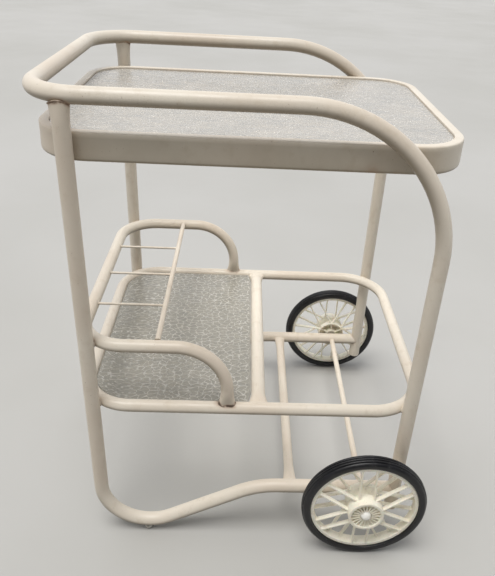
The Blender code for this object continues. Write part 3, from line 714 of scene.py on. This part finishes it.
def tray_welds():
    """The weld between the tray's band and each side's tube, where the top bend passes it."""
    low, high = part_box("tray_band")
    steps = np.array([-1, -0.5, 0, 0.5, 1, 1.06, 1, 0.5, 0, -0.5, -1, -1.06])
    proud = np.array([0] * 5 + [0.5] + [1] * 5 + [0.5])       # 0 inside the band, 1 on the weld's face
    solids = []
    for _, sign in SIDES:
        path = spaced(top_frame_path(), 0.004)
        inside = (path[:, 1] * sign > SIDE_Y - 0.001) & (path[:, 0] > 0)
        inside &= (path[:, 2] > low.z + 0.004) & (path[:, 2] < high.z - 0.003)
        run = path[inside]
        across = np.cross(directions(run, False, Y)[0], Y)
        rings = []
        for i, (point, side) in enumerate(zip(run, across)):
            width = 0.0048 * (1 + 0.10 * sin(i * 1.9)) * min(1, (i + 1) / 3, (len(run) - i) / 3)
            gap = MAIN_R - np.sqrt(MAIN_R ** 2 - (width * np.minimum(abs(steps), 1)) ** 2)
            out = np.where(proud > 0, (gap + 2 * SINK) * proud, -SINK)
            rings.append(point * (1, 0, 1) + np.outer(width * steps, side)
                         + np.outer(sign * (high.y + out), Y))
        solids.append(skin(np.array(rings)))
    return solids


def build_welds():
    """Every weld as one piece, and the (points, rust, reach) sources that stain what lies near."""
    welds = [(skin(rings, closed=True), rust) for rings, rust in WELDS]
    for contact, rust in zip(corner_contacts(), (0.35, 0.3, 0.2, 0.2, 0.7, 0.5)):
        welds.append((crevice(*contact), rust))
    tray_z = centre("tray_band")[2]
    low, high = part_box("tray_band")
    for _, sign in SIDES:
        leg = np.array([left_leg_x(tray_z), sign * SIDE_Y, tray_z])
        middle = np.array([low.x + TRAY_CORNER_R, sign * (high.y - TRAY_CORNER_R), tray_z])
        toward = unit(middle - leg)
        gap = np.linalg.norm(middle - leg) - MAIN_R - TRAY_CORNER_R
        solid = crevice(leg + toward * (MAIN_R + gap / 2), toward, (Z, Z), (MAIN_R, TRAY_CORNER_R),
                        reach=0.0055, gap=gap)
        welds.append((solid, 0.15))
    welds += [(solid, 0.15) for solid in tray_welds()]
    sources = [(solid[0][::9], rust, STAIN_REACH) for solid, rust in welds]
    for x, z, rust, reach in TRAY_MARKS:
        sources.append((np.array([[x, low.y, low.z + z]]), rust, reach))
    return piece("frame_welds", joined(*(solid for solid, _ in welds))), sources


def stain_frame(pieces, sources):
    """Marks each point of the frame with how rusty it is, from the sources near it."""
    for obj in pieces:
        points = mesh_points(obj)
        stain = np.zeros(len(points))
        for near, rust, reach in sources:
            apart = ((points[:, None] - near[None]) ** 2).sum(-1).min(1)
            stain = np.maximum(stain, rust * np.exp(-apart / reach ** 2))
        point_values(obj, "stain", stain)


# ---- the upper tray
def tray_section(low, high):
    """The band's folded section: wall, top rim, pocket, ledge and bottom lip (outward, upward)."""
    deep = high.z - low.z
    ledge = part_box("top_bumper_1")[0].z - high.z - 0.0003
    bend = 0.006
    sheet, lip, inner = TRAY_SHEET, TRAY_LIP + bend, TRAY_RIM + TRAY_LEDGE
    corners = [(-lip, -deep), (0, -deep), (0, 0), (-TRAY_RIM, 0), (-TRAY_RIM, ledge), (-inner, ledge),
               (-inner, ledge - sheet), (-TRAY_RIM + sheet, ledge - sheet), (-TRAY_RIM + sheet, -sheet),
               (-sheet, -sheet), (-sheet, -deep + sheet), (-lip, -deep + sheet)]
    radii = [0.0005, bend, 0.0028, 0.0014, 0.0006, 0.0006, 0.0006, 0.001, 0.0008, 0.0012,
             bend - sheet, 0.0005]
    points = []
    outline = rounded_profile(corners, radii, radians(15))
    for a, b in zip(outline, outline[1:] + outline[:1]):
        count = max(1, round(np.linalg.norm(b - a) / 0.006))
        points += [a + (b - a) * i / count for i in range(count)]
    return np.array(points)


def build_tray():
    """The tray's band, its walls a little wavy, and painted shade on its long walls."""
    low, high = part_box("tray_band")
    section = tray_section(low, high)
    outline = rounded_rectangle(low.x, high.x, high.y, high.z, TRAY_CORNER_R, TRAY_CORNER_R)
    outline = spaced(outline)[:-1]
    outward = np.cross(directions(outline, True, Z)[0], Z)
    rings = outline[:, None] + outward[:, None] * section[None, :, :1] + Z * section[None, :, 1:]
    deep = high.z - low.z
    for ring, normal, (x, y, _) in zip(rings, outward, outline):
        for point, (_, height) in zip(ring, section):
            below = min(1, -height / (0.35 * deep))
            push = noise.noise(Vector((x * 7, y * 7, height * 14)))
            point += normal * 0.00045 * below * push
    tray = piece("tray_band_sheet", skin(rings, closed=True), replaces="tray_band", sharp=50)
    x, _, z = mesh_points(tray).T
    # Painted shade: the band below its top darkens, fading out towards the tray's ends.
    wall = np.clip((high.z - z - 0.002) / 0.006, 0, 1)
    from_end = (high.x - low.x) / 2 - np.abs(x - (low.x + high.x) / 2)
    dirt_film_and_painted_shade = np.interp(from_end, (0.2 * TRAY_CORNER_R, TRAY_CORNER_R), (0, 0.48))
    point_values(tray, "dirt_film_and_painted_shade", wall * dirt_film_and_painted_shade)
    return tray


# ---- glass
def cell_pattern(x, y, seed):
    """The glass's pattern: ridges between its cells, and a low dome in each, both from 0 to 1."""
    random = np.random.default_rng(seed)
    size = 128
    jitter = random.uniform(0.08, 0.92, (size, size, 2))
    warp = 2 * pi / 0.031
    push = 0.0016 * np.sin(y * warp * 1.3 + 2.1 * np.sin(x * warp * 0.4))
    u = (x + push) / (CELL * CELL_STRETCH) + size / 2
    push = 0.0013 * np.sin(x * warp + 1.7 * np.sin(y * warp * 0.5))
    v = (y + push) / CELL + size / 2
    u = u + 0.07 * np.sin(v * 5.3 + 1.9 * np.sin(u * 2.7))
    v = v + 0.07 * np.sin(u * 7.1 + 2.3 * np.sin(v * 1.9))
    column, row = np.floor(u).astype(int), np.floor(v).astype(int)
    first = second = np.full(x.shape, 9.0)
    for i in range(-2, 3):
        for j in range(-2, 3):
            offset = jitter[(column + i) % size, (row + j) % size]
            apart = np.hypot((u - (column + i + offset[..., 0])) * CELL_STRETCH,
                             v - (row + j + offset[..., 1]))
            second = np.minimum(second, np.maximum(first, apart))
            first = np.minimum(first, apart)
    edge = (second - first) / 2 * CELL
    ridge = np.exp(-(edge / RIDGE_WIDTH) ** 2)
    dome = np.clip(1 - first / 0.75, 0, 1) ** 2
    return ridge, dome


def round_corner(radius, count=28):
    """A pane's rounded corner, as how far each point is from the pane's end and from its side."""
    turn = np.linspace(0, pi / 2, count)
    return np.column_stack([radius * (1 - np.cos(turn)), radius * (1 - np.sin(turn))])


def glass_pane(node, left_corner, right_corner, seed):
    """A pane patterned above and flat below, with its edge ground, and its points' ridge values."""
    low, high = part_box(node)
    half = high.y
    left, right = low.x + left_corner[:, 0], high.x - right_corner[::-1, 0]
    between = np.linspace(left[-1], right[0], round((right[0] - left[-1]) / GLASS_STEP))
    columns = np.concatenate([left, between[1:-1], right])

    def half_width(x):
        return (half - np.interp(x - low.x, left_corner[:, 0], left_corner[:, 1])
                - np.interp(high.x - x, right_corner[:, 0], right_corner[:, 1]))

    rows = round(2 * half / GLASS_STEP)
    x, share = np.meshgrid(columns, np.linspace(-1, 1, rows), indexing="ij")
    y = half_width(x) * share
    ridge, dome = cell_pattern(x, y, seed)
    to_edge = np.minimum(np.minimum(x - low.x, high.x - x), half_width(x) - np.abs(y))
    fade = np.clip(to_edge / 0.004, 0, 1)
    z = high.z - RIDGE + RIDGE * fade * (ridge + 0.35 * dome)
    top = np.stack([x, y, z], -1)
    count = len(columns)
    index = np.arange(count * rows).reshape(count, rows)
    quads = np.stack([index[:-1, :-1], index[1:, :-1], index[1:, 1:], index[:-1, 1:]], -1)
    border = np.concatenate([index[:, 0], index[-1, 1:], index[-2::-1, -1], index[0, -2:0:-1]])
    around = top.reshape(-1, 3)[border]
    outward = np.roll(around, -1, 0) - np.roll(around, 1, 0)
    outward = unit(np.cross(outward, Z) * (1, 1, 0))
    points = top.reshape(-1, 3).copy()
    points[border] -= outward * 0.0007
    faces = quads.reshape(-1, 4).tolist()
    previous = border
    for inset, z in ((0.0002, high.z - 0.0006), (0, high.z - 0.0011), (0, low.z + 0.0007),
                     (0.0006, low.z)):
        ring = around - outward * inset
        ring[:, 2] = z
        these = len(points) + np.arange(len(ring))
        points = np.concatenate([points, ring])
        faces += np.stack([previous, these, np.roll(these, -1), np.roll(previous, -1)], -1).tolist()
        previous = these
    hub = len(points)
    points = np.concatenate([points, [[(low.x + high.x) / 2, 0, low.z]]])
    faces += [[int(a), int(b), hub] for a, b in zip(previous, np.roll(previous, -1))]
    values = np.zeros(len(points))
    values[:count * rows] = (ridge * fade).ravel()
    return (points, faces), values


def build_glass():
    tray_corner = round_corner(TRAY_CORNER_R - TRAY_RIM - 0.001)
    shelf_corner = round_corner(SHELF_LEFT_CORNER_R - SHELF_R - 0.001)
    # Each pane's last number is its painted shade: none on the top pane, most on the lower one.
    for node, body, left_corner, right_corner, seed, depth, painted_pane_shade in (
            ("top_glass", "top_pane", tray_corner, tray_corner, 5, 0.7, 0.0),
            ("shelf_glass", "shelf_pane", shelf_corner, np.array(PANE_CLIP), 8, 1.0, 0.8)):
        solid, ridge = glass_pane(node, left_corner, right_corner, seed)
        obj = piece(node + "_pane", solid, "obscure_glass", body=body, replaces=node)
        point_values(obj, "ridge", ridge * depth)
        point_values(obj, "painted_pane_shade", np.full(len(ridge), painted_pane_shade))
        obj.visible_shadow = False          # the light goes on through the glass


# ---- bumpers, tabs and feet
def build_bumpers():
    """Clear vinyl buttons under the panes, and the bevelled tabs that hold the lower one."""
    for kind in ("top_bumper", "shelf_bumper"):
        for i in range(1, 7):
            node = "%s_%d" % (kind, i)
            low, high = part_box(node)
            radius, deep = (high.x - low.x) / 2, high.z - low.z
            dome = [(radius * cos(a), deep * (0.35 + 0.65 * sin(a)))
                    for a in (radians(15 * k) for k in range(6))]
            button = turned([(0, deep)] + dome[::-1] + [(radius, 0), (0, 0)], 32, closed=False)
            place = Matrix.Translation((*centre(node)[:2], low.z))
            piece(node + "_button", placed(button, place), "clear_vinyl", replaces=node)
    tabs = []
    for i in range(1, 7):
        node = "shelf_tab_%d" % i
        low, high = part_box(node)
        tabs.append(piece(node + "_plate", rounded_plate(low, high), replaces=node))
    return tabs


def rounded_plate(low, high, corner=0.0035, edge=0.0004):
    """A small plate with rounded corners and softened edges."""
    corners = [(low.x, low.y), (high.x, low.y), (high.x, high.y), (low.x, high.y)]
    outline = np.array(rounded_profile(corners, corner, radians(15)))
    middle = outline.mean(0)
    outward = outline - middle
    upper = [(edge * 2, 0), (edge * 0.4, edge * 0.4), (0, edge)]
    rings = []
    for inset, z in [(i, high.z - d) for i, d in upper] + [(i, low.z + d) for i, d in upper[::-1]]:
        flat = middle + outward * (1 - inset / np.abs(outward).max())
        rings.append(np.column_stack([flat, np.full(len(flat), z)]))
    return skin(np.array(rings))


def build_feet():
    """The plugs in the right legs' ends, and the domed glides under the left feet."""
    radius = MAIN_R - TUBE_WALL - 0.0006
    plug = [(0, 0.018), (radius - 0.0008, 0.018), (radius, 0.0168), (radius, 0),
            (MAIN_R - 0.0005, -0.0003), (MAIN_R - 0.0004, -0.0008), (MAIN_R - 0.0006, -0.0014),
            (MAIN_R - 0.0014, -0.0019), (MAIN_R - 0.0034, -0.0022), (0.0045, -0.0022),
            (0.0038, -0.0018), (0, -0.0016)]
    for side, sign in SIDES:
        place = Matrix.Translation((right_leg_x(FOOT_Z), sign * SIDE_Y, FOOT_Z))
        place = place @ Matrix.Rotation(atan(RIGHT_LEG_LEAN), 4, "Y")
        piece("leg_plug_cap_" + side, placed(turned(plug, 48, closed=False), place), "cream_plastic",
              replaces="leg_plug_" + side)
        low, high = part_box("glide_" + side)
        wide = (high.x - low.x) / 2
        deep = high.z - low.z
        glide = [(0, deep), (wide * 0.72, deep), (wide * 0.9, deep * 0.72), (wide, deep * 0.52),
                 (wide * 0.985, deep * 0.38), (wide * 0.93, deep * 0.22), (wide * 0.80, deep * 0.09),
                 (wide * 0.60, deep * 0.02), (wide * 0.4, 0), (0, 0)]
        place = Matrix.Translation((*centre("glide_" + side)[:2], 0))
        piece("glide_dome_" + side, placed(turned(glide, 48, closed=False), place), "plated_steel",
              replaces="glide_" + side)


# ---- wheels and axle
def blade(start, end, width, depth, flare=1.6):
    """A moulded spoke: a flat-sided blade, deep along the axle, flaring into the hub and rim."""
    along = unit(end - start)
    length = np.linalg.norm(end - start)
    across = unit(np.cross(Z, along))
    deep = np.cross(along, across)
    w, d = width / 2, depth / 2
    corners = [(-w, -d), (w, -d), (w, d), (-w, d)]
    outline = np.array(rounded_profile(corners, width * 0.3, radians(30)))
    rings = []
    for share in (0, 0.015, 0.04, 0.08, 0.14, 0.24, 0.5, 0.76, 0.86, 0.92, 0.96, 0.985, 1):
        from_end = min(share, 1 - share) * length
        grow = 1 + (flare - 1) * exp(-(from_end / 0.004) ** 2)
        rings.append(start + along * length * share + np.outer(outline[:, 0] * grow, across)
                     + np.outer(outline[:, 1] * (0.9 + 0.1 * grow), deep))
    return skin(np.array(rings))


def spokes(hub_r, rim_r, hub_z, rim_z, phase):
    """Pairs of spokes, each pair spreading from one place on the hub to the rim."""
    solids = []
    for i in range(SPOKE_PAIRS):
        middle = phase + i * 2 * pi / SPOKE_PAIRS
        for turn in (-1, 1):
            at_hub = middle + turn * asin(SPOKE_WIDTH * 0.56 / hub_r)
            at_rim = middle + turn * SPOKE_SPREAD
            start = np.array([hub_r * cos(at_hub), hub_r * sin(at_hub), hub_z])
            end = np.array([rim_r * cos(at_rim), rim_r * sin(at_rim), rim_z])
            solids.append(blade(start, end, SPOKE_WIDTH, SPOKE_DEPTH))
    return solids


def radial_ribs(count, inner, outer, low_z, high_z, width, phase=0.0):
    """Low ribs like a wheel's rays, standing on a dish."""
    middle, depth = Z * (low_z + high_z) / 2, abs(high_z - low_z)
    solids = []
    for i in range(count):
        angle = phase + 2 * pi * i / count
        ray = np.array([cos(angle), sin(angle), 0])
        solids.append(blade(ray * inner + middle, ray * outer + middle, width, depth, flare=1.15))
    return solids


def wheel_moulding(hub_in, hub_out, half):
    """Hub, spokes and rim in the wheel's own frame: Z is the axle, pointing out of the cart."""
    inner_face = hub_in + HUB_INNER_STEP
    outer_back, inner_back = hub_out - HUB_OUTER_BARREL, inner_face + HUB_INNER_BARREL
    pocket = HUB_R - HUB_WALL
    floor = inner_back + HUB_TAPER - 0.002
    corners = [(HUB_BORE_R, hub_out - HUB_DISH - 0.003), (HUB_DISH_R, hub_out - HUB_DISH),
               (HUB_DISH_R + 0.001, hub_out), (HUB_R, hub_out), (HUB_R, outer_back),
               (HUB_WAIST_R, outer_back - HUB_TAPER), (HUB_WAIST_R, inner_back + HUB_TAPER),
               (HUB_R, inner_back), (HUB_R, inner_face), (pocket, inner_face),
               (pocket, inner_back - 0.003), (HUB_WAIST_R - 0.004, floor),
               (HUB_BOSS_R + 0.0005, floor), (HUB_BOSS_R, hub_in), (HUB_BORE_R, hub_in)]
    radii = [0.0006, 0.0015, 0.0008, 0.0014, 0.0025, 0.0030, 0.0030, 0.0025, 0.0008, 0.0008, 0.0020,
             0.0015, 0.0010, 0.0008, 0.0006]
    hub = turned(rounded_profile(corners, radii), 96)
    groove, lip = RIM_R - RIM_LIP, half - RIM_LIP
    corners = [(RIM_BAND_R, half), (RIM_R, half), (RIM_R, lip), (groove, lip - 0.001),
               (groove, 0.001 - lip), (RIM_R, -lip), (RIM_R, -half), (RIM_BAND_R, -half)]
    rim = turned(rounded_profile(corners, [0.0011] * 2 + [0.0004] * 4 + [0.0011] * 2), 144)
    foot_r, rim_r = HUB_R - HUB_WALL + 0.0004, RIM_BAND_R + 0.0012
    rim_z = half - SPOKE_DEPTH / 2 - 0.0003
    outer = spokes(foot_r, rim_r, OUTER_SPOKE_Z, rim_z, 0)
    inner = spokes(foot_r, rim_r, INNER_SPOKE_Z, -rim_z, pi / SPOKE_PAIRS)
    rays = radial_ribs(DISH_RIBS, 0.0108, HUB_DISH_R + 0.0006, hub_out - 0.0085, hub_out - 0.0022,
                       0.0021)
    webs = radial_ribs(HUB_WEBS, HUB_BOSS_R - 0.001, pocket + 0.0005, inner_face + 0.0006, floor,
                       0.0017, pi / HUB_WEBS)
    return joined(hub, rim, *outer, *inner, *rays, *webs)


def tyre_profile(half):
    """A tread with round grooves, soft shoulders and a bead that grips the rim."""
    low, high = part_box("tyre_near")
    side = (high.y - low.y) / 2
    bead_r = RIM_R + 0.0003
    tread = []
    for t in np.linspace(1, -1, 91):
        height = t * side * 0.94
        crown = 0.0050 * abs(t) ** 3
        groove = sum(exp(-((height - middle) / 0.001) ** 2) for middle in TYRE_GROOVES)
        tread.append((WHEEL_R - crown - TYRE_GROOVE_DEPTH * min(groove, 1), height))
    wall = [(WHEEL_R - 0.0068, side * 0.985), (WHEEL_R - 0.0082, side),
            (WHEEL_R - 0.0094, side * 0.98), (WHEEL_R - 0.0108, side), (RIM_R + 0.0036, side * 0.96),
            (RIM_R + 0.0014, side * 0.90), (bead_r + 0.0002, half + 0.0010), (bead_r, half - 0.0034),
            (RIM_R - 0.0025, half - 0.0046), (RIM_R - 0.0027, half - 0.0052)]
    return wall[::-1] + tread + [(r, -z) for r, z in wall]


def build_wheels():
    """Each side's wheel, tyre and hub bush, all riding on the wheel's own body."""
    middle_y = (RIM_IN_Y + RIM_OUT_Y) / 2
    half = (RIM_OUT_Y - RIM_IN_Y) / 2
    low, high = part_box("wheel_far")
    moulding = wheel_moulding(low.y - middle_y, high.y - middle_y, half)
    tyre = turned(tyre_profile(half), 160)
    low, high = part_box("hub_bush_far")
    bush = sleeve(BUSH_BORE_R, (high.x - low.x) / 2, low.y - middle_y, high.y - middle_y, 0.0004)
    for side, sign in SIDES:
        place = facing(sign, (AXLE_X, sign * middle_y, WHEEL_R))
        body = side + "_wheel"
        for name, solid, slot, node in (("wheel_moulding_", moulding, "cream_plastic", "wheel_"),
                                        ("tyre_ring_", tyre, "black_rubber", "tyre_"),
                                        ("hub_bush_sleeve_", bush, "white_nylon", "hub_bush_")):
            piece(name + side, placed(solid, place), slot, body=body, replaces=node + side)


def build_axle():
    """The axle rod, a washer inside each wheel and a domed cap on each end."""
    low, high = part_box("axle")
    radius = (high.x - low.x) / 2
    rod = turned([(0, high.y), (radius - 0.0006, high.y), (radius, high.y - 0.0006)]
                 + [(radius, high.y * k / 12) for k in range(11, -12, -1)]
                 + [(radius, low.y + 0.0006), (radius - 0.0006, low.y), (0, low.y)], 32, closed=False)
    axle = piece("axle_rod", placed(rod, facing(1, (AXLE_X, 0, WHEEL_R))), replaces="axle")
    for side, sign in SIDES:
        low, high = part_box("axle_washer_" + side)
        deep = (high.y - low.y) / 2
        ring = sleeve(radius + 0.0004, (high.x - low.x) / 2, -deep, deep, 0.0003)
        place = facing(sign, centre("axle_washer_" + side))
        piece("axle_washer_ring_" + side, placed(ring, place), "plated_steel",
              replaces="axle_washer_" + side)
        low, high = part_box("cap_nut_" + side)
        outer, deep = (high.x - low.x) / 2, high.y - low.y
        skirt = deep * 0.25
        cap = [(outer * sin(a), skirt + (deep - skirt) * cos(a))
               for a in (radians(6 * k) for k in range(16))]
        cap += [(outer, deep * 0.03), (outer - 0.0005, 0), (0, 0)]
        place = facing(sign, (AXLE_X, sign * min(abs(low.y), abs(high.y)), WHEEL_R))
        piece("cap_nut_dome_" + side, placed(turned(cap, 64, closed=False), place), "white_nylon",
              replaces="cap_nut_" + side)
    return axle


# ---- camera, floor and light
def build_camera():
    """The camera stands over the near side, looking down and a little to the right."""
    yaw, pitch, roll = 0.0514, 0.4988, 0.0581
    turn = Matrix.Rotation(-yaw, 4, "Z") @ Matrix.Rotation(pi / 2 - pitch, 4, "X")
    data = bpy.data.cameras.new("camera")
    data.lens = 40.33
    data.shift_x, data.shift_y = -0.0352, -0.0220
    data.clip_end = 60
    camera = new_object("camera", data)
    place = Matrix.Translation((-0.0222, -1.1338, 1.0507))
    camera.matrix_world = place @ turn @ Matrix.Rotation(roll, 4, "Z")
    bpy.context.scene.camera = camera


def build_floor():
    material, g = new_material("pale_floor")
    g.coat(g.remap(g.noise(0.8, 4), 0.35, 0.7), rgb(183, 182, 178), over=rgb(190, 189, 186))
    g.set(Base_Color=g.colour, Roughness=g.remap(g.noise(3, 3), 0.3, 0.7, 0.62, 0.78))
    g.bump((g.noise(60, 3), 0.0002))
    mesh = bpy.data.meshes.new("floor")
    reach = 30
    corners = [(x * reach, y * reach, 0) for x, y in ((-1, -1), (1, -1), (1, 1), (-1, 1))]
    mesh.from_pydata(corners, [], [(0, 1, 2, 3)])
    mesh.materials.append(material)
    floor = new_object("floor", mesh)
    floor.location.z = -0.0002


def build_light():
    """A sky that is dimmer in front of the cart, and a soft sun from above, a little in front.

    Where the sky itself is seen, over the floor's far edge, it is one pale grey all round.
    """
    world = bpy.data.worlds.new("sky")
    g = Graph(world, "Background")
    depth = g.add("SeparateXYZ", "Y", {0: g.add("TexCoord", "Generated")})
    strength = g.remap(depth, -0.9, 0.9, 0.08, 0.95, curve="LINEAR")
    seen = g.add("LightPath", "Is Camera Ray")
    strength = g.add("Mix", "Result", {"Factor": seen, "A": strength, "B": 0.60})
    g.set(Color=(0.97, 0.98, 1.0, 1), Strength=strength)
    bpy.context.scene.world = world
    data = bpy.data.lights.new("sun", "SUN")
    data.energy = 2.35
    data.angle = radians(35)
    data.color = (1.0, 0.985, 0.96)
    sun = new_object("sun", data)
    sun.rotation_euler = Vector((0.20, 0.22, -1)).to_track_quat("-Z", "Y").to_euler()


build_camera()
build_floor()
build_light()
FRAME_PIECES = build_tubes() + build_divider() + [build_tray(), build_axle()] + build_bumpers()
WELD_PIECE, RUST_SOURCES = build_welds()
stain_frame(FRAME_PIECES + [WELD_PIECE], RUST_SOURCES)
build_glass()
build_feet()
build_wheels()
bpy.context.scene.view_settings.view_transform = "Standard"
